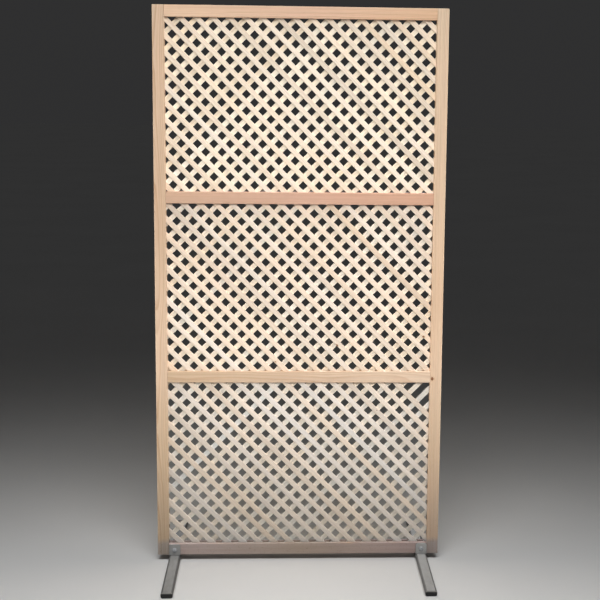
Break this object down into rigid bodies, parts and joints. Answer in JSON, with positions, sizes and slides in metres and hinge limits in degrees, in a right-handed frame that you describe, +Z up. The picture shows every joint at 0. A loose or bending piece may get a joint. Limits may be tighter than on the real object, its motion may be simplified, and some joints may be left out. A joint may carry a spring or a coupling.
{
  "type": "garden privacy screen",
  "caption": "Free-standing wooden garden privacy screen with framed panels of diagonal lattice, carried on flat oval steel tube feet.",
  "frame": {"origin": "on the ground, midway between the two feet and in the middle plane of the frame", "axes": "+Z up, +X to the right as seen from the front, -Y towards the front"},
  "size_m": [1, 0.77, 1.9434],
  "materials": {
    "frame_wood": "planed softwood, untreated, matt, with straight grain along each bar",
    "lattice_wood": "thin planed softwood slats, paler than the frame, matt",
    "foot_steel": "light grey coating, satin",
    "zinc_steel": "bright zinc-plated fasteners",
    "cap_plastic": "black polyethylene, matt"
  },
  "bodies": {
    "root": {"left_stile": "frame_wood", "right_stile": "frame_wood", "bottom_rail": "frame_wood", "lower_mid_rail": "frame_wood", "upper_mid_rail": "frame_wood", "top_rail": "frame_wood", "lattice_panel_bottom": "lattice_wood", "lattice_panel_middle": "lattice_wood", "lattice_panel_top": "lattice_wood", "frame_screw_left_bottom_lower": "zinc_steel", "frame_screw_left_bottom_upper": "zinc_steel", "frame_screw_left_lower_mid_lower": "zinc_steel", "frame_screw_left_lower_mid_upper": "zinc_steel", "frame_screw_left_upper_mid_lower": "zinc_steel", "frame_screw_left_upper_mid_upper": "zinc_steel", "frame_screw_left_top_lower": "zinc_steel", "frame_screw_left_top_upper": "zinc_steel", "frame_screw_right_bottom_lower": "zinc_steel", "frame_screw_right_bottom_upper": "zinc_steel", "frame_screw_right_lower_mid_lower": "zinc_steel", "frame_screw_right_lower_mid_upper": "zinc_steel", "frame_screw_right_upper_mid_lower": "zinc_steel", "frame_screw_right_upper_mid_upper": "zinc_steel", "frame_screw_right_top_lower": "zinc_steel", "frame_screw_right_top_upper": "zinc_steel", "foot_tube_left": "foot_steel", "foot_saddle_left": "foot_steel", "foot_cap_left_front": "cap_plastic", "foot_cap_left_rear": "cap_plastic", "foot_bolt_left": "zinc_steel", "foot_washer_left": "zinc_steel", "foot_nut_left": "zinc_steel", "foot_tube_right": "foot_steel", "foot_saddle_right": "foot_steel", "foot_cap_right_front": "cap_plastic", "foot_cap_right_rear": "cap_plastic", "foot_bolt_right": "zinc_steel", "foot_washer_right": "zinc_steel", "foot_nut_right": "zinc_steel"}
  },
  "joints": []
}
